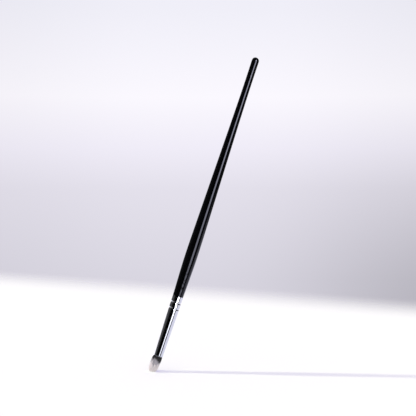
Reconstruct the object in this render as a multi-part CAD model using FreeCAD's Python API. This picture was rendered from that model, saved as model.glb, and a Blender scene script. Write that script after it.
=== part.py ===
"""Eyeshadow brush: a turned handle and a bundle of hair, joined by a tapered ferrule with a double crimp.

Lengths are in millimetres. The axis of the brush is Z. The origin lies on it where the shoulder of the handle
meets the back rim of the ferrule, with the handle above and the hair below. Every piece is turned about Z.
"""

import FreeCAD, Part
import os

# Ferrule: a drawn tube that tapers towards the hair
ferrule_length = 33.2
mouth_diameter = 4.62
collar_diameter = 5.6
ferrule_wall = 0.25
lip_bend_radius = 0.1

# Crimp: grooves rolled into the ferrule, the glue and the tenon, counted from the back rim
crimp_count = 2
crimp_setback = 3.5
crimp_pitch = 3.2
crimp_width = 1.3
crimp_depth = 0.28

# Handle above the ferrule
handle_length = 132.4
belly_height = 22.0
belly_diameter = 6.66
waist_setback = 8.4
waist_diameter = 3.78
knob_diameter = 3.86
end_dome_height = 1.9
shoulder_proud = 0.02
shoulder_round = 0.2
swell_lead_share = 0.3
taper_lead = 4.6
taper_tail = 14.0

# Tenon of the handle and the glue film round it
tenon_length = 10.5
tenon_chamfer = 0.6
handle_glue_film = 0.1

# Hair: outside the ferrule and inside it
hair_length_out = 9.4
hair_belly_height = 4.6
hair_belly_diameter = 5.1
hair_length_in = 12.0
hair_clearance = 0.03
hair_flare_share = 0.2
hair_dome_share = 0.74

# Thread that binds the root of the hair
thread_diameter = 0.36
thread_turns = 6
thread_slope_share = 0.25
binding_setback = 1.2

# Glue round and behind the root of the hair
hair_glue_film = 0.12
hair_glue_length = 6.0
hair_glue_cap = 2.0
hair_glue_dish = 0.5

# Shares of a stretch that give an even bend and a round dome
even_share = 1 / 3
round_share = 0.5523

# Ferrule: places and radii
mouth_radius = mouth_diameter / 2
collar_radius = collar_diameter / 2
mouth_z = -ferrule_length
lip_round = ferrule_wall + lip_bend_radius
lip_z = mouth_z + lip_round
opening_radius = mouth_radius - lip_round
crimp_places = [-crimp_setback - crimp_pitch * groove for groove in range(crimp_count)]
taper_top_z = crimp_places[-1] - crimp_width / 2

# Tenon: places and how far it lies inside the ferrule's outline
tenon_inset = ferrule_wall + handle_glue_film
nose_z = -tenon_length
chamfer_z = nose_z + tenon_chamfer

# Hair, binding and glue: places
tip_z = mouth_z - hair_length_out
root_z = mouth_z + hair_length_in
hair_glue_low_z = root_z - hair_glue_length
hair_glue_top_z = root_z + hair_glue_cap
binding_top_z = root_z - binding_setback
binding_low_z = binding_top_z - thread_diameter * thread_turns


def point(radius, z):
    """A point of an outline."""
    return FreeCAD.Vector(radius, 0, z)


def straight(*points):
    """Straight stretches of an outline, from point to point."""
    return [Part.makeLine(start, end) for start, end in zip(points, points[1:])]


def bend(*poles):
    """A curved stretch of an outline, as one Bezier curve."""
    curve = Part.BezierCurve()
    curve.setPoles(list(poles))
    return [curve.toShape()]


def swell(start, end):
    """A stretch that leaves start and reaches end in line with the axis."""
    lead = point(0, even_share * (end.z - start.z))
    return bend(start, start + lead, end - lead, end)


def dome(rim, apex_z, share=round_share):
    """A stretch that leaves rim in line with the axis and meets the axis square."""
    lead = point(rim.x, rim.z + share * (apex_z - rim.z))
    tail = point(share * rim.x, apex_z)
    return bend(rim, lead, tail, point(0, apex_z))


def quarter_round(start, centre, end):
    """A quarter of a circle about centre."""
    radius = (start - centre).Length
    outwards = (start - centre + end - centre).normalize()
    return [Part.Arc(start, centre + outwards * radius, end).toShape()]


def turned(edges):
    """The solid that a closed outline makes when it is turned about the axis."""
    outline = Part.Wire(Part.__sortEdges__(edges))
    solid = Part.Face(outline).revolve(FreeCAD.Vector(0, 0, 0), FreeCAD.Vector(0, 0, 1), 360)
    return solid.Solids[0]


def taper_radius(z):
    """Outer radius of the ferrule between its lip and its crimp."""
    share = (z - lip_z) / (taper_top_z - lip_z)
    return mouth_radius + share * (collar_radius - mouth_radius)


def glued_radius(z):
    """Radius of the hair where glue surrounds it."""
    return taper_radius(z) - ferrule_wall - hair_glue_film


root_radius = glued_radius(binding_low_z)
neck_radius = root_radius - thread_diameter


def crimped_line(inset, low_z):
    """The outline of the ferrule set in by inset, from its back rim down past the crimp to low_z."""
    radius = collar_radius - inset
    last = point(radius, 0)
    edges = []
    for place in crimp_places:
        top = point(radius, place + crimp_width / 2)
        floor = point(radius - crimp_depth, place)
        foot = point(radius, place - crimp_width / 2)
        edges += straight(last, top) + swell(top, floor) + swell(floor, foot)
        last = foot
    return edges + straight(last, point(taper_radius(low_z) - inset, low_z))


def make_ferrule():
    """Tapered tube with an even wall, turned in at the mouth and crimped at the back."""
    lip_centre = point(opening_radius, lip_z)
    lip_outer = point(opening_radius, mouth_z)
    lip_inner = point(opening_radius, mouth_z + ferrule_wall)
    edges = crimped_line(0, lip_z)
    edges += quarter_round(point(mouth_radius, lip_z), lip_centre, lip_outer)
    edges += straight(lip_outer, lip_inner)
    edges += quarter_round(lip_inner, lip_centre, point(mouth_radius - ferrule_wall, lip_z))
    edges += crimped_line(ferrule_wall, lip_z)
    edges += straight(point(collar_radius - ferrule_wall, 0), point(collar_radius, 0))
    return turned(edges)


def tenon_line():
    """Outline of the tenon, from the axis at its nose to the inner corner of the shoulder."""
    tenon_foot = point(taper_radius(chamfer_z) - tenon_inset, chamfer_z)
    nose_rim = point(tenon_foot.x - tenon_chamfer, nose_z)
    return straight(point(0, nose_z), nose_rim, tenon_foot) + crimped_line(tenon_inset, chamfer_z)


def taper_line(belly, waist):
    """Outline of the straight taper from belly to waist, eased into both."""
    head = belly + point(0, taper_lead)
    foot = waist - point(0, taper_tail)
    along = (foot - head).normalize()
    start = head + along * taper_lead
    end = foot - along * taper_tail
    return bend(belly, head, start) + straight(start, end) + bend(end, foot, waist)


def grip_line():
    """Outline of the handle that shows: shoulder, swelling belly, long taper, waist, knob and domed end."""
    shoulder_radius = collar_radius + shoulder_proud
    shoulder_edge = point(shoulder_radius - shoulder_round, 0)
    shoulder_side = point(shoulder_radius, shoulder_round)
    belly = point(belly_diameter / 2, belly_height)
    waist = point(waist_diameter / 2, handle_length - waist_setback)
    knob = point(knob_diameter / 2, handle_length - end_dome_height)
    climb = belly - shoulder_side
    swell_lead = shoulder_side + point(swell_lead_share * climb.x, even_share * climb.z)
    swell_tail = belly - point(0, even_share * climb.z)
    edges = straight(point(collar_radius - tenon_inset, 0), shoulder_edge)
    edges += quarter_round(shoulder_edge, point(shoulder_edge.x, shoulder_round), shoulder_side)
    edges += bend(shoulder_side, swell_lead, swell_tail, belly)
    edges += taper_line(belly, waist) + swell(waist, knob)
    return edges + dome(knob, handle_length)


def make_handle():
    """Turned handle with the tenon that the ferrule is crimped onto."""
    return turned(tenon_line() + grip_line() + straight(point(0, handle_length), point(0, nose_z)))


def make_handle_glue():
    """Film that fills the gap between the tenon and the ferrule, with the crimp's grooves in it."""
    foot_radius = taper_radius(chamfer_z)
    edges = crimped_line(ferrule_wall, chamfer_z) + crimped_line(tenon_inset, chamfer_z)
    edges += straight(point(foot_radius - ferrule_wall, chamfer_z), point(foot_radius - tenon_inset, chamfer_z))
    edges += straight(point(collar_radius - ferrule_wall, 0), point(collar_radius - tenon_inset, 0))
    return turned(edges)


def hair_inner_line():
    """Outline of the hair inside the ferrule, from the mouth up to the axis at the root."""
    throat_radius = opening_radius - hair_clearance
    loose_inset = ferrule_wall + hair_clearance
    return straight(
        point(throat_radius, mouth_z),
        point(throat_radius, mouth_z + ferrule_wall),
        point(mouth_radius - loose_inset, lip_z),
        point(taper_radius(hair_glue_low_z) - loose_inset, hair_glue_low_z),
        point(glued_radius(hair_glue_low_z), hair_glue_low_z),
        point(root_radius, binding_low_z),
        point(neck_radius, binding_low_z),
        point(neck_radius, binding_top_z),
        point(root_radius, binding_top_z),
        point(root_radius, root_z),
        point(0, root_z),
    )


def hair_outer_line():
    """Outline of the hair outside the ferrule, from the mouth over the belly to the blunt tip."""
    mouth = point(opening_radius - hair_clearance, mouth_z)
    belly = point(hair_belly_diameter / 2, tip_z + hair_belly_height)
    drop = mouth_z - belly.z
    flare = point(belly.x, mouth_z - hair_flare_share * drop)
    above_belly = point(belly.x, belly.z + even_share * drop)
    return bend(mouth, flare, above_belly, belly) + dome(belly, tip_z, hair_dome_share)


def make_hair_tuft():
    """Bundle of hair, bound at the root, that leaves the ferrule through the lip and swells."""
    return turned(hair_inner_line() + hair_outer_line() + straight(point(0, tip_z), point(0, root_z)))


def make_root_binding():
    """Thread wound close round the root of the hair, as one sleeve with a sloped bead for each turn."""
    crease_radius = neck_radius + thread_diameter / 2
    slope = thread_slope_share * thread_diameter
    outline = [point(neck_radius, binding_top_z), point(neck_radius, binding_low_z)]
    for turn in range(thread_turns):
        low_z = binding_low_z + thread_diameter * turn
        high_z = low_z + thread_diameter
        outline += [point(crease_radius, low_z), point(root_radius, low_z + slope)]
        outline.append(point(root_radius, high_z - slope))
    outline += [point(crease_radius, binding_top_z), outline[0]]
    return turned(straight(*outline))


def make_hair_glue():
    """Resin round the bound root of the hair, with a cap behind it that set with a dished top."""
    cap_rim = point(taper_radius(hair_glue_top_z) - ferrule_wall, hair_glue_top_z)
    dish = point(0, hair_glue_top_z - hair_glue_dish)
    edges = straight(
        dish,
        point(0, root_z),
        point(root_radius, root_z),
        point(root_radius, binding_low_z),
        point(glued_radius(hair_glue_low_z), hair_glue_low_z),
        point(taper_radius(hair_glue_low_z) - ferrule_wall, hair_glue_low_z),
        cap_rim,
    )
    return turned(edges + bend(cap_rim, point(even_share * cap_rim.x, dish.z), dish))


pieces = {
    "handle": make_handle(),
    "handle_glue": make_handle_glue(),
    "ferrule": make_ferrule(),
    "hair_glue": make_hair_glue(),
    "root_binding": make_root_binding(),
    "hair_tuft": make_hair_tuft(),
}

os.makedirs("parts", exist_ok=True)
for name, solid in pieces.items():
    solid.exportStep(f"parts/{name}.step")
    span = solid.BoundBox
    print(f"{name}: volume {solid.Volume:.1f}, valid {solid.isValid()}, z {span.ZMin:.2f} to {span.ZMax:.2f}")
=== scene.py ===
"""Eyeshadow brush: the hair, the finishes, and the floor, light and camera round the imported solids.

Lengths are in metres. The axis of the brush is Z, with the hair at the low end. A soft edge is a pair of
values: where the edge starts and where it ends.
"""

import bpy
import numpy as np
from math import cos, pi, radians, sin
from mathutils import Matrix, Vector


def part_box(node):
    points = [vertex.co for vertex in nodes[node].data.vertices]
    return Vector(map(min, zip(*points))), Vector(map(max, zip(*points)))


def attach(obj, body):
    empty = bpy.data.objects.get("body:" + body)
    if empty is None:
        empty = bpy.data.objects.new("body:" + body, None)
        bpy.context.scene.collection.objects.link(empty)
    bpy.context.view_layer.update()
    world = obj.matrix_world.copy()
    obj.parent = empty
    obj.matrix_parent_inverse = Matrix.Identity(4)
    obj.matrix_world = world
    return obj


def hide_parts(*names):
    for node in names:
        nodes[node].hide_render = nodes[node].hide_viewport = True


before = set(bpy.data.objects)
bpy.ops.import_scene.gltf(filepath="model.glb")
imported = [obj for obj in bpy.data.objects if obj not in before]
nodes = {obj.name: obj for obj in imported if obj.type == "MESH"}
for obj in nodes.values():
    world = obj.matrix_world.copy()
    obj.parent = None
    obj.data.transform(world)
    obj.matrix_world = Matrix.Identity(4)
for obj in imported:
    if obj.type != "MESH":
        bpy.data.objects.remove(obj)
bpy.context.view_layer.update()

MM = 0.001

# Brush: places along the axis and sizes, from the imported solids
mouth_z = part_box("ferrule")[0].z
shoulder_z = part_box("ferrule")[1].z
tip_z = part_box("hair_tuft")[0].z
hair_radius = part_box("hair_tuft")[1].x
hair_length = mouth_z - tip_z

# View: a square picture, in which the brush leans to the right
picture_pixels = 416
pixel_size = 0.527 * MM
lean = radians(18.2)
aim = Vector((0.50 * MM, 0, 49.1 * MM))
lens_mm = 85
sensor_mm = 36
nearest_seen = 10 * MM
view_right = Vector((cos(lean), 0, sin(lean)))
view_up = Vector((-sin(lean), 0, cos(lean)))
view_back = Vector((0, -1, 0))

# Floor: seen a little from above, so it slopes across the brush, with the tip of the hair pressed onto it
tip_press = 1.0 * MM
floor_tilt = radians(5)
floor_up = view_up * cos(floor_tilt) + view_back * sin(floor_tilt)
floor_front = view_back * cos(floor_tilt) - view_up * sin(floor_tilt)
floor_radius = 1.0
floor_sides = 96
floor_fade = 0.2

# Pool of light on the floor: its far edge lies slantwise behind the brush, and it fades towards the right
pool_edge_depth = 0.248
pool_edge_slope = 0.4345
pool_edge_width = 0.0915
pool_right_edge = (0.16, 0.38)

# Lamp that throws the shadow, and the soft light from all round
lamp_rise = radians(45)
lamp_swing = radians(11.0)
lamp_energy = 1.25
lamp_angle = radians(2.2)
soft_colour = (0.98, 0.96, 1.0, 1.0)
soft_strength = 0.98

# Strands: counts and sizes of the single hairs
strand_count = 1900
strand_rings = 8
strand_sides = 5
strand_radius = 0.048 * MM
girth_shares = (0.8, 1.2)
taper_start_share = 0.6
point_share = 0.15
shortest_strand = 2.5 * MM
hair_seed = 11

# Bundle: how the strands leave the ferrule, drift to the left, gather into locks and end in a ragged dome
throat_radius = 1.9 * MM
hair_inside = 3.0 * MM
flare_length = 0.35 * MM
mouth_drift = 0.36 * MM
mouth_drift_length = 0.6 * MM
tip_drift = 0.36 * MM
lock_count = 120
gather_shares = (0.25, 0.6)
gather_power = 1.5
sway_size = 0.09 * MM
sway_length = 2.4 * MM
sway_shares = (0.6, 1.4)
stray_share = 0.035
stray_spread_shares = (0.03, 0.13)
dome_height = 4.6 * MM
dome_power = 2.74
ragged_cut = (-0.05 * MM, 0.55 * MM)

# Dye: how far each tone reaches from the mouth, in millimetres, how much further towards a side, and how
# unevenly from strand to strand and from lock to lock. Sides go from -1 at the left to 1 at the right.
charcoal_mm = 1.6
charcoal_right_mm = 1.3
charcoal_right_edge = (0.06, 0.66)
charcoal_left_mm = 0.3
charcoal_left_edge = (0.15, 0.55)
charcoal_uneven_mm = (0.2, 0.3)
smoke_mm = 3.4
smoke_middle_mm = 1.6
smoke_middle_edge = (-0.75, 0.0)
smoke_right_mm = -0.7
smoke_right_edge = (0.25, 0.75)
smoke_uneven_mm = (0.3, 0.5)
lock_tone_share = 0.5


class Socket:
    """One output of a shader node. Operators on numbers add Math nodes."""

    def __init__(self, shader, output):
        self.shader = shader
        self.output = output

    def __add__(self, other):
        return self.shader.math("ADD", self, other)

    def __radd__(self, other):
        return self.shader.math("ADD", other, self)

    def __sub__(self, other):
        return self.shader.math("SUBTRACT", self, other)

    def __rsub__(self, other):
        return self.shader.math("SUBTRACT", other, self)

    def __mul__(self, other):
        return self.shader.math("MULTIPLY", self, other)

    def __rmul__(self, other):
        return self.shader.math("MULTIPLY", other, self)

    def __truediv__(self, other):
        return self.shader.math("DIVIDE", self, other)

    def __neg__(self):
        return self.shader.math("MULTIPLY", self, -1.0)

    def __abs__(self):
        return self.shader.math("ABSOLUTE", self)


class Shader:
    """The nodes of one material, or of the world."""

    def __init__(self, owner):
        owner.use_nodes = True
        self.tree = owner.node_tree
        self.tree.nodes.clear()

    def node(self, kind, settings=None, sockets=None, out=0):
        """Adds a node, sets it up, fills its sockets with values or links, and gives one of its outputs."""
        made = self.tree.nodes.new("ShaderNode" + kind)
        for name, value in (settings or {}).items():
            if name == "stops":
                self.set_stops(made.color_ramp, value)
            else:
                setattr(made, name, value)
        for name, value in (sockets or {}).items():
            if isinstance(value, Socket):
                self.tree.links.new(value.output, made.inputs[name])
            else:
                made.inputs[name].default_value = value
        return Socket(self, made.outputs[out])

    def set_stops(self, ramp, stops):
        """Gives a colour ramp its stops, as places and colours. A ramp starts with two stops."""
        middle = 0.5
        for _ in stops[2:]:
            ramp.elements.new(middle)
        for element, (place, colour) in zip(ramp.elements, stops):
            element.position = place
            element.color = colour

    def math(self, operation, *terms):
        """A sum, product or other operation on numbers."""
        return self.node("Math", {"operation": operation}, dict(enumerate(terms)))

    def step(self, value, low, high):
        """A smooth step from 0 at low to 1 at high."""
        sockets = {"Value": value, "From Min": low, "From Max": high}
        return self.node("MapRange", {"interpolation_type": "SMOOTHSTEP"}, sockets)

    def blend(self, share, first, second):
        """A colour that goes from first to second as share goes from 0 to 1."""
        return self.node("Mix", {"data_type": "RGBA"}, {0: share, 6: first, 7: second}, out=2)

    def place(self):
        """The point on the piece, in the piece's own frame."""
        return self.node("TexCoord", out="Object")

    def parts_of(self, vector):
        """The X, Y and Z of a vector."""
        split = self.node("SeparateXYZ", sockets={"Vector": vector})
        return [Socket(self, output) for output in split.output.node.outputs]

    def stretched(self, vector, scale):
        """A vector with its X, Y and Z scaled, for textures that run one way."""
        return self.node("VectorMath", {"operation": "MULTIPLY"}, {0: vector, 1: scale})

    def along(self, vector, direction):
        """How far a vector goes in a direction."""
        return self.node("VectorMath", {"operation": "DOT_PRODUCT"}, {0: vector, 1: direction}, out="Value")

    def noise(self, vector, per_mm, detail=3.0, roughness=0.5):
        """Soft noise from 0 to 1, with so many cells per millimetre."""
        sockets = {"Vector": vector, "Scale": per_mm / MM, "Detail": detail, "Roughness": roughness}
        return self.node("TexNoise", sockets=sockets)

    def attribute(self, name):
        """A number that the mesh carries at each point."""
        return self.node("Attribute", {"attribute_name": name}, out="Fac")

    def bump(self, height, strength, distance):
        """A bumped normal from a height."""
        return self.node("Bump", sockets={"Height": height, "Strength": strength, "Distance": distance})

    def ray(self, kind):
        """1 on rays of a kind, such as Camera, and 0 on others."""
        return self.node("LightPath", out=f"Is {kind} Ray")

    def mirrored(self):
        """1 on rays from shiny and clear surfaces, and 0 on others."""
        return self.math("MAXIMUM", self.ray("Glossy"), self.ray("Transmission"))

    def output(self, surface, kind="Material"):
        """Sends a surface to the output of the material or the world."""
        made = self.tree.nodes.new("ShaderNodeOutput" + kind)
        self.tree.links.new(surface.output, made.inputs["Surface"])


def rgb(red, green, blue):
    """A solid colour."""
    return (red, green, blue, 1.0)


def new_finish(name):
    """An empty material with its shader."""
    material = bpy.data.materials.new(name)
    return material, Shader(material)


def lacquer_finish():
    """Black gloss lacquer on the handle that shows, and bare wood on the tenon."""
    wood_dark = rgb(0.42, 0.27, 0.14)
    wood_pale = rgb(0.66, 0.48, 0.29)
    lacquer_deep = rgb(0.0007, 0.0007, 0.0010)
    lacquer_cloudy = rgb(0.0020, 0.0020, 0.0025)
    lacquer_edge = (shoulder_z - 0.05 * MM, shoulder_z)
    grain_run = (1.0, 1.0, 0.06)
    grain_height = 4.0
    smudge_run = (1.0, 1.0, 0.35)
    smudge_edge = (0.48, 0.72)
    clean_roughness = 0.035
    smudge_roughness = 0.045
    wood_roughness = 0.62

    material, shader = new_finish("black_lacquer")
    place = shader.place()
    z = shader.parts_of(place)[2]
    lacquered = shader.step(z, *lacquer_edge)
    bare = 1 - lacquered
    grain = shader.noise(shader.stretched(place, grain_run), per_mm=2.6, detail=5.0, roughness=0.65)
    wood = shader.blend(grain, wood_dark, wood_pale)
    cloud = shader.noise(place, per_mm=0.26, detail=4.0)
    lacquer = shader.blend(cloud, lacquer_deep, lacquer_cloudy)
    smears = shader.noise(shader.stretched(place, smudge_run), per_mm=0.17, detail=5.0, roughness=0.6)
    gloss = clean_roughness + smudge_roughness * shader.step(smears, *smudge_edge)
    peel = shader.noise(place, per_mm=0.9, detail=2.0)
    height = peel * lacquered + grain * bare * grain_height
    surface = shader.node("BsdfPrincipled", sockets={
        "Base Color": shader.blend(lacquered, wood, lacquer),
        "Roughness": gloss * lacquered + wood_roughness * bare,
        "IOR": 1.4,
        "Specular Tint": rgb(0.88, 0.88, 1.0),
        "Normal": shader.bump(height, strength=0.05, distance=0.01 * MM),
    })
    shader.output(surface)
    return material


def plated_finish():
    """Bright plated metal with fine turned lines and a little haze, and a dull bore."""
    plate_hazy = rgb(0.70, 0.705, 0.73)
    plate_clear = rgb(0.78, 0.785, 0.80)
    bore_dull = rgb(0.42, 0.41, 0.40)
    bore_edge = (0.2, 0.5)
    across_axis = (1.0, 1.0, 0.0)
    ring_run = (0.02, 0.02, 1.0)
    plate_roughness = 0.045
    ring_roughness = 0.03
    haze_roughness = 0.04
    bore_roughness = 0.35

    material, shader = new_finish("bright_plate")
    place = shader.place()
    flat_place = shader.stretched(place, across_axis)
    radial = shader.node("VectorMath", {"operation": "NORMALIZE"}, {0: flat_place})
    facing_out = shader.along(radial, shader.node("NewGeometry", out="Normal"))
    bore = shader.step(-facing_out, *bore_edge)
    rings = shader.noise(shader.stretched(place, ring_run), per_mm=9.0, detail=4.0, roughness=0.7)
    haze = shader.noise(place, per_mm=0.42, detail=4.0, roughness=0.6)
    bright = shader.blend(haze, plate_hazy, plate_clear)
    polish = plate_roughness + ring_roughness * rings + haze_roughness * haze
    surface = shader.node("BsdfPrincipled", sockets={
        "Base Color": shader.blend(bore, bright, bore_dull),
        "Metallic": 1.0,
        "Roughness": polish + bore_roughness * bore,
        "Normal": shader.bump(rings, strength=0.05, distance=0.004 * MM),
    })
    shader.output(surface)
    return material


def hair_finish():
    """Hair that goes from charcoal through smoke to pale at the tip, each strand a little different."""
    charcoal_dark = rgb(0.012, 0.012, 0.014)
    charcoal_light = rgb(0.045, 0.042, 0.043)
    smoke_dark = rgb(0.40, 0.385, 0.42)
    smoke_light = rgb(0.56, 0.535, 0.57)
    pale_dark = rgb(0.965, 0.89, 0.885)
    pale_light = rgb(0.99, 0.965, 0.96)
    tip_cream = rgb(0.99, 0.94, 0.89)
    charcoal_edge_mm = (-0.6, 0.8)
    smoke_edge_mm = (-0.9, 0.9)
    tip_edge_mm = (0.4, 2.4)
    streak_run = (1.0, 1.0, 0.1)
    smooth_roughness = 0.42
    streak_roughness = 0.2

    material, shader = new_finish("two_tone_hair")
    place = shader.place()
    z = shader.parts_of(place)[2]
    tone = shader.attribute("strand_tone")
    depth_mm = (mouth_z - z) / MM
    past_charcoal = shader.step(depth_mm - shader.attribute("charcoal_reach"), *charcoal_edge_mm)
    past_smoke = shader.step(depth_mm - shader.attribute("smoke_reach"), *smoke_edge_mm)
    tipped = 1 - shader.step((z - tip_z) / MM, *tip_edge_mm)
    charcoal = shader.blend(tone, charcoal_dark, charcoal_light)
    smoke = shader.blend(tone, smoke_dark, smoke_light)
    pale = shader.blend(tipped, shader.blend(tone, pale_dark, pale_light), tip_cream)
    streak = shader.noise(shader.stretched(place, streak_run), per_mm=9.0)
    surface = shader.node("BsdfPrincipled", sockets={
        "Base Color": shader.blend(past_smoke, shader.blend(past_charcoal, charcoal, smoke), pale),
        "Roughness": smooth_roughness + streak_roughness * streak,
        "Specular IOR Level": 0.35,
        "Normal": shader.bump(streak, strength=0.2, distance=0.01 * MM),
    })
    shader.output(surface)
    return material


def thread_finish():
    """Twisted thread, wound close."""
    thread_dark = rgb(0.62, 0.58, 0.50)
    thread_pale = rgb(0.88, 0.86, 0.80)
    twists_round = 60.0
    twist_per_mm = 17.0
    twist_share = 0.6
    fuzz_share = 0.4
    fuzz_height = 0.5
    thread_roughness = 0.75
    fuzz_roughness = 0.15

    material, shader = new_finish("binding_thread")
    place = shader.place()
    x, y, z = shader.parts_of(place)
    turn = shader.math("ARCTAN2", y, x)
    twist = shader.math("SINE", turn * twists_round + z / MM * twist_per_mm) * 0.5 + 0.5
    fuzz = shader.noise(place, per_mm=6.0, detail=4.0)
    surface = shader.node("BsdfPrincipled", sockets={
        "Base Color": shader.blend(twist * twist_share + fuzz * fuzz_share, thread_dark, thread_pale),
        "Roughness": thread_roughness + fuzz_roughness * fuzz,
        "Normal": shader.bump(twist + fuzz * fuzz_height, strength=0.5, distance=0.03 * MM),
    })
    shader.output(surface)
    return material


def resin_finish():
    """Set amber resin with small bubbles."""
    amber_dark = rgb(0.50, 0.34, 0.12)
    amber_pale = rgb(0.72, 0.56, 0.30)
    bubbles_per_mm = 4.2
    bubble_edge = (0.06, 0.16)
    resin_roughness = 0.16
    cloud_roughness = 0.2
    bubble_roughness = 0.1

    material, shader = new_finish("amber_resin")
    place = shader.place()
    cloud = shader.noise(place, per_mm=0.9, detail=4.0)
    scale = bubbles_per_mm / MM
    distance = shader.node("TexVoronoi", sockets={"Vector": place, "Scale": scale}, out="Distance")
    bubble = 1 - shader.step(distance, *bubble_edge)
    surface = shader.node("BsdfPrincipled", sockets={
        "Base Color": shader.blend(cloud, amber_dark, amber_pale),
        "Roughness": resin_roughness + cloud_roughness * cloud + bubble_roughness * bubble,
        "Normal": shader.bump(bubble, strength=0.3, distance=0.03 * MM),
    })
    shader.output(surface)
    return material


def glue_finish():
    """Set cloudy glue."""
    glue_dark = rgb(0.74, 0.70, 0.60)
    glue_pale = rgb(0.92, 0.90, 0.84)
    ripple_run = (1.0, 1.0, 0.4)
    glue_roughness = 0.38
    cloud_roughness = 0.25

    material, shader = new_finish("cloudy_glue")
    place = shader.place()
    cloud = shader.noise(place, per_mm=1.3, detail=5.0)
    ripple = shader.noise(shader.stretched(place, ripple_run), per_mm=3.0, detail=2.0)
    surface = shader.node("BsdfPrincipled", sockets={
        "Base Color": shader.blend(cloud, glue_dark, glue_pale),
        "Roughness": glue_roughness + cloud_roughness * cloud,
        "Normal": shader.bump(ripple, strength=0.25, distance=0.02 * MM),
    })
    shader.output(surface)
    return material


def smooth_step(values, low, high):
    """A smooth step from 0 at low to 1 at high."""
    share = np.clip((values - low) / (high - low), 0.0, 1.0)
    return share * share * (3 - 2 * share)


def settled(out, length):
    """Share of a change that is done at a distance out, where it settles over a length."""
    return 1 - np.exp(-out / length)


def scattered(rng, count):
    """Even places in a circle of radius 1, and how far out each one lies."""
    spread = np.sqrt(rng.uniform(0, 1, count))
    turn = rng.uniform(0, 2 * pi, count)
    return np.stack([spread * np.cos(turn), spread * np.sin(turn)], axis=1), spread


def strand_paths(rng):
    """Centre points of the strands from inside the ferrule to the tip, with each one's place and lock."""
    place, spread = scattered(rng, strand_count)
    lock_place, _ = scattered(rng, lock_count)
    lock = np.argmin(np.linalg.norm(place[:, None] - lock_place[None], axis=2), axis=1)
    cut = dome_height * (1 - (1 - spread ** dome_power) ** (1 / dome_power))
    length = hair_length - cut - rng.uniform(*ragged_cut, strand_count)
    length = np.maximum(length, shortest_strand)
    strays = rng.uniform(0, 1, strand_count) < stray_share
    stray = strays * rng.uniform(*stray_spread_shares, strand_count)
    gather = rng.uniform(*gather_shares, strand_count)
    phase = rng.uniform(0, 2 * pi, (strand_count, 2))
    wave = rng.uniform(*sway_shares, strand_count)
    paths = np.zeros((strand_count, strand_rings, 3))
    for ring in range(strand_rings):
        share = ring / (strand_rings - 1)
        depth = -hair_inside + share * (length + hair_inside)
        out = np.maximum(depth, 0)
        reach = out / hair_length
        flare = throat_radius + (hair_radius - throat_radius) * settled(out, flare_length)
        gathered = (gather * reach ** gather_power)[:, None]
        across = place * (1 - gathered) + lock_place[lock] * gathered
        across = across * (flare * (1 + stray * reach))[:, None]
        sway = sway_size * reach[:, None] * np.sin(phase + (wave * out / sway_length)[:, None])
        drift = tip_drift * smooth_step(reach, 0, 1) + mouth_drift * settled(out, mouth_drift_length)
        paths[:, ring, :2] = across + sway
        paths[:, ring, 0] -= drift
        paths[:, ring, 2] = mouth_z - depth
    return paths, place, lock


def strand_faces():
    """Faces of the strands: rings of sides, closed at the root and at the tip."""
    faces = []
    per_strand = strand_rings * strand_sides
    for first in range(0, strand_count * per_strand, per_strand):
        last = first + per_strand - 1
        for low in range(first, first + per_strand - strand_sides, strand_sides):
            high = low + strand_sides
            for side in range(strand_sides):
                after = (side + 1) % strand_sides
                faces.append((low + after, low + side, high + side, high + after))
        faces.append(tuple(first + side for side in range(strand_sides)))
        faces.append(tuple(last - side for side in range(strand_sides)))
    return faces


def unevenness(rng, lock, sizes):
    """Random differences from strand to strand and from lock to lock."""
    strand_size, lock_size = sizes
    return rng.normal(0, strand_size, strand_count) + rng.normal(0, lock_size, lock_count)[lock]


def dye_strands(rng, mesh, side, lock):
    """Gives the strands their tone, and the millimetres from the mouth that charcoal and smoke reach."""
    tone = (1 - lock_tone_share) * rng.uniform(0, 1, strand_count)
    tone += lock_tone_share * rng.uniform(0, 1, lock_count)[lock]
    charcoal = charcoal_mm + charcoal_right_mm * smooth_step(side, *charcoal_right_edge)
    charcoal += charcoal_left_mm * smooth_step(-side, *charcoal_left_edge)
    charcoal += unevenness(rng, lock, charcoal_uneven_mm)
    smoke = smoke_mm + smoke_middle_mm * smooth_step(side, *smoke_middle_edge)
    smoke += smoke_right_mm * smooth_step(side, *smoke_right_edge)
    smoke += unevenness(rng, lock, smoke_uneven_mm)
    for name, values in (("strand_tone", tone), ("charcoal_reach", charcoal), ("smoke_reach", smoke)):
        attribute = mesh.attributes.new(name, "FLOAT", "POINT")
        at_points = np.repeat(values, strand_rings * strand_sides)
        attribute.data.foreach_set("value", at_points.astype(np.float32))


def make_hair(finish):
    """The hair as single tapered strands, flared from the ferrule and drawn into small locks."""
    rng = np.random.RandomState(hair_seed)
    paths, place, lock = strand_paths(rng)
    girth = strand_radius * rng.uniform(*girth_shares, strand_count)
    along = np.arange(strand_rings) / (strand_rings - 1)
    taper = 1 - (1 - point_share) * smooth_step(along, taper_start_share, 1)
    widths = girth[:, None] * taper[None]
    turns = 2 * pi * np.arange(strand_sides) / strand_sides
    corners = np.stack([np.cos(turns), np.sin(turns), np.zeros(strand_sides)], axis=1)
    points = paths[:, :, None, :] + widths[:, :, None, None] * corners[None, None]
    mesh = bpy.data.meshes.new("hair_strands")
    mesh.from_pydata(points.reshape(-1, 3).tolist(), [], strand_faces())
    dye_strands(rng, mesh, place[:, 0], lock)
    mesh.materials.append(finish)
    tuft = bpy.data.objects.new("hair_strands", mesh)
    bpy.context.scene.collection.objects.link(tuft)
    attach(tuft, "root")
    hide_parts("hair_tuft")


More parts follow.
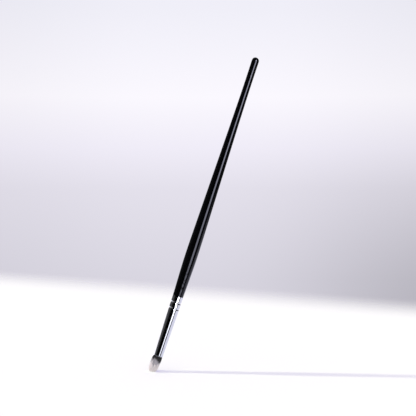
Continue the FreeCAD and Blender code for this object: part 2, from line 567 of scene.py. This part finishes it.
def dress_solids(hair):
    """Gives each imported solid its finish."""
    finishes = {
        "handle": lacquer_finish(),
        "ferrule": plated_finish(),
        "root_binding": thread_finish(),
        "hair_glue": resin_finish(),
        "handle_glue": glue_finish(),
        "hair_tuft": hair,
    }
    for name, material in finishes.items():
        nodes[name].data.materials.clear()
        nodes[name].data.materials.append(material)


def floor_cover(shader, place, mirrored):
    """Where the floor shows: inside its pool of light and, in shiny surfaces, not in front of the brush."""
    front_slope = 0.62
    front_slope_loss = 0.48
    front_slope_edge = (0.05, 0.2)
    front_edge = (-6 * MM, 6 * MM)
    front_near_edge = (8 * MM, 14 * MM)

    side, depth, _ = shader.parts_of(place)
    reach = shader.node("VectorMath", {"operation": "LENGTH"}, {0: place}, out="Value")
    past_pool = depth + pool_edge_slope * side - pool_edge_depth
    cover = 1 - shader.step(past_pool, -pool_edge_width / 2, pool_edge_width / 2)
    cover = cover * (1 - shader.step(reach, floor_radius - floor_fade, floor_radius))
    cover = cover * (1 - shader.step(side, *pool_right_edge))
    cover = cover * (1 - shader.node("NewGeometry", out="Backfacing"))
    slope = front_slope - front_slope_loss * shader.step(reach, *front_slope_edge)
    front = (1 - shader.step(depth + slope * side, *front_edge)) * shader.step(reach, *front_near_edge)
    return cover * (1 - mirrored * front)


def floor_painted_white_patch(shader, place):
    """The small patch at the lit side of the tip of the hair, which takes no shadow: painted light, plain
    white for the camera where the contact shadow would fall.
    """
    patch_edge = (3.0 * MM, 5.5 * MM)
    patch_right_edge = (0.0, 2.5 * MM)

    side = shader.parts_of(place)[0]
    reach = shader.node("VectorMath", {"operation": "LENGTH"}, {0: place}, out="Value")
    return (1 - shader.step(reach, *patch_edge)) * (1 - shader.step(side, *patch_right_edge))


def floor_finish():
    """White floor that takes the shadow, and fades out past the far edge of its pool of light.

    For the camera a yellowish lit colour and a blue glow add up to white, so the shadow is lavender.
    """
    plain_white = rgb(0.90, 0.90, 0.90)
    mirrored_white = rgb(0.64, 0.66, 0.74)
    seen_lit = rgb(0.76, 0.78, 0.48)
    mirrored_glow = rgb(0.76, 0.73, 1.0)
    seen_glow = rgb(0.2, 0.13, 1.0)
    seen_strength = 0.42
    mirrored_strength = 0.12

    material, shader = new_finish("white_floor")
    place = shader.place()
    camera = shader.ray("Camera")
    mirrored = shader.mirrored()
    colour = shader.blend(camera, shader.blend(mirrored, plain_white, mirrored_white), seen_lit)
    lit = shader.node("BsdfDiffuse", sockets={"Color": colour})
    glow = shader.node("Emission", sockets={
        "Color": shader.blend(camera, mirrored_glow, seen_glow),
        "Strength": camera * seen_strength + mirrored * mirrored_strength,
    })
    shaded = shader.node("AddShader", sockets={0: lit, 1: glow})
    unshaded = shader.node("Emission")
    # Painted light: round the tip of the hair the camera sees plain white, which hides the contact shadow
    painted_white_patch = camera * floor_painted_white_patch(shader, place)
    white = shader.node("MixShader", sockets={0: painted_white_patch, 1: shaded, 2: unshaded})
    cover = floor_cover(shader, place, mirrored)
    surface = shader.node("MixShader", sockets={0: cover, 1: shader.node("BsdfTransparent"), 2: white})
    shader.output(surface)
    return material


def make_floor():
    """Round floor, level in the picture, through the pressed tip of the hair."""
    turns = [2 * pi * side / floor_sides for side in range(floor_sides)]
    points = [(floor_radius * cos(turn), floor_radius * sin(turn), 0) for turn in turns]
    mesh = bpy.data.meshes.new("floor")
    mesh.from_pydata(points, [], [tuple(range(floor_sides))])
    mesh.materials.append(floor_finish())
    floor = bpy.data.objects.new("floor", mesh)
    bpy.context.scene.collection.objects.link(floor)
    axes = Matrix((view_right, -floor_front, floor_up)).transposed().to_4x4()
    floor.matrix_world = Matrix.Translation((0, 0, tip_z + tip_press)) @ axes


def tall_light(sky, turn, rise):
    """Tall light at the front right, narrow at both ends, and stronger the higher it goes."""
    left_edge = (radians(11), radians(16))
    right_edge = (radians(29), radians(36))
    low_edge = (-0.26, -0.19)
    high_edge = (0.40, 0.55)
    wider = 0.18
    wider_edge = (-0.175, -0.135)
    narrower = 0.2
    narrower_edge = (0.18, 0.25)
    # Strength in the ferrule, what the crimp and the handle add, and what each rise adds above the horizon
    # and in the end of the handle
    ferrule_strength = 1.75
    crimp_strength = 1.6
    crimp_edge = (-0.152, -0.142)
    handle_strength = 2.6
    handle_edge = (-0.16, -0.06)
    rise_strength = 40.0
    end_strength = 200.0
    end_rise = 0.19

    widening = sky.step(rise, *wider_edge) * wider - sky.step(rise, *narrower_edge) * narrower
    shape = sky.step(turn, *left_edge) * (1 - sky.step(turn - widening, *right_edge))
    shape = shape * sky.step(rise, *low_edge) * (1 - sky.step(rise, *high_edge))
    strength = ferrule_strength + crimp_strength * sky.step(rise, *crimp_edge)
    strength = strength + handle_strength * sky.step(rise, *handle_edge)
    strength = strength + rise_strength * sky.math("MAXIMUM", rise, 0.0)
    strength = strength + end_strength * sky.math("MAXIMUM", rise - end_rise, 0.0)
    return shape * strength


def mirrored_studio(sky, toward):
    """What shiny surfaces see: a tall light at the front right, a pale back and ground, and a dark room."""
    light_clear = rgb(0.88, 0.90, 1.0)
    room_clear = rgb(0.95, 0.96, 1.0)
    ceiling = 0.02
    ceiling_edge = (0.5, 0.6)
    ground_edge = (-0.6, -0.42)
    ground_left = 0.3
    ground_left_edge = (radians(20), radians(100))
    ground_right = 0.85
    ground_right_edge = (radians(10), radians(60))
    wall_back = 0.75
    wall_back_edge = (radians(145), radians(165))
    wall_left = 0.085
    wall_left_edge = (radians(40), radians(105))
    wall_right = 0.07
    wall_right_edge = (radians(60), radians(75))

    x, y, z = sky.parts_of(toward)
    turn = sky.math("ARCTAN2", x, -y)
    light = tall_light(sky, turn, z)
    above = sky.step(z, *ceiling_edge) * ceiling
    ground = sky.step(-turn, *ground_left_edge) * ground_left
    ground = ground + sky.step(turn, *ground_right_edge) * ground_right
    below = (1 - sky.step(z, *ground_edge)) * ground
    walls = sky.step(abs(turn), *wall_back_edge) * wall_back
    walls = walls + sky.step(-turn, *wall_left_edge) * wall_left
    walls = walls + sky.step(turn, *wall_right_edge) * wall_right
    strength = light + above + below + walls * (1 - above) * (1 - below)
    colour = sky.blend(light, room_clear, light_clear)
    return sky.node("Background", sockets={"Color": colour, "Strength": strength})


def backdrop(sky, toward):
    """The pale backdrop behind the brush, as the camera sees it."""
    lowest = -0.2
    height = 0.4
    stops = [
        (0.0, rgb(0.68, 0.66, 0.74)),
        (0.32, rgb(0.69, 0.67, 0.75)),
        (0.55, rgb(0.775, 0.75, 0.835)),
        (0.65, rgb(0.870, 0.842, 0.935)),
        (0.78, rgb(0.965, 0.942, 1.0)),
        (1.0, rgb(0.870, 0.862, 0.94)),
    ]
    # Painted shade on the backdrop: a broad shadow towards the lower right corner, and darker towards both
    # sides
    corner_painted_shade = 0.295
    corner_side_edge = (-0.02, 0.26)
    corner_top_edge = (-0.14, 0.12)
    side_painted_shade = 0.06
    side_edge = (0.05, 0.25)

    rise = sky.along(toward, view_up)
    aside = sky.along(toward, view_right)
    tone = sky.node("ValToRGB", {"stops": stops}, {0: (rise - lowest) / height})
    corner = sky.step(aside, *corner_side_edge) * (1 - sky.step(rise, *corner_top_edge))
    painted_backdrop_shade = corner_painted_shade * corner + side_painted_shade * sky.step(abs(aside), *side_edge)
    return sky.node("Background", sockets={"Color": tone, "Strength": 1 - painted_backdrop_shade})


def light_studio():
    """Soft light from all round, with the studio in shiny surfaces and the backdrop behind the brush."""
    world = bpy.data.worlds.new("studio")
    bpy.context.scene.world = world
    sky = Shader(world)
    toward = sky.node("TexCoord", out="Generated")
    soft = sky.node("Background", sockets={"Color": soft_colour, "Strength": soft_strength})
    studio = mirrored_studio(sky, toward)
    unseen = sky.node("MixShader", sockets={0: sky.mirrored(), 1: soft, 2: studio})
    seen = backdrop(sky, toward)
    sky.output(sky.node("MixShader", sockets={0: sky.ray("Camera"), 1: unseen, 2: seen}), "World")


def make_lamp():
    """Small lamp at the left and a little behind, which throws the long shadow."""
    flat = view_right * cos(lamp_swing) + floor_front * sin(lamp_swing)
    travel = flat * cos(lamp_rise) - floor_up * sin(lamp_rise)
    lamp = bpy.data.lights.new("shadow_lamp", "SUN")
    lamp.energy = lamp_energy
    lamp.angle = lamp_angle
    lamp_object = bpy.data.objects.new("shadow_lamp", lamp)
    lamp_object.rotation_mode = "QUATERNION"
    lamp_object.rotation_quaternion = travel.to_track_quat("-Z", "Y")
    lamp_object.visible_glossy = False
    bpy.context.scene.collection.objects.link(lamp_object)


def make_camera():
    """Camera square to the axis of the brush, turned so that the brush leans."""
    camera = bpy.data.cameras.new("camera")
    camera.lens = lens_mm
    camera.sensor_width = sensor_mm
    camera.clip_start = nearest_seen
    distance = pixel_size * picture_pixels * lens_mm / sensor_mm
    camera_object = bpy.data.objects.new("camera", camera)
    axes = Matrix((view_right, view_up, view_back)).transposed().to_4x4()
    camera_object.matrix_world = Matrix.Translation(aim + view_back * distance) @ axes
    bpy.context.scene.collection.objects.link(camera_object)
    bpy.context.scene.camera = camera_object


hair = hair_finish()
make_hair(hair)
dress_solids(hair)
make_floor()
light_studio()
make_lamp()
make_camera()
bpy.context.scene.view_settings.view_transform = "Standard"
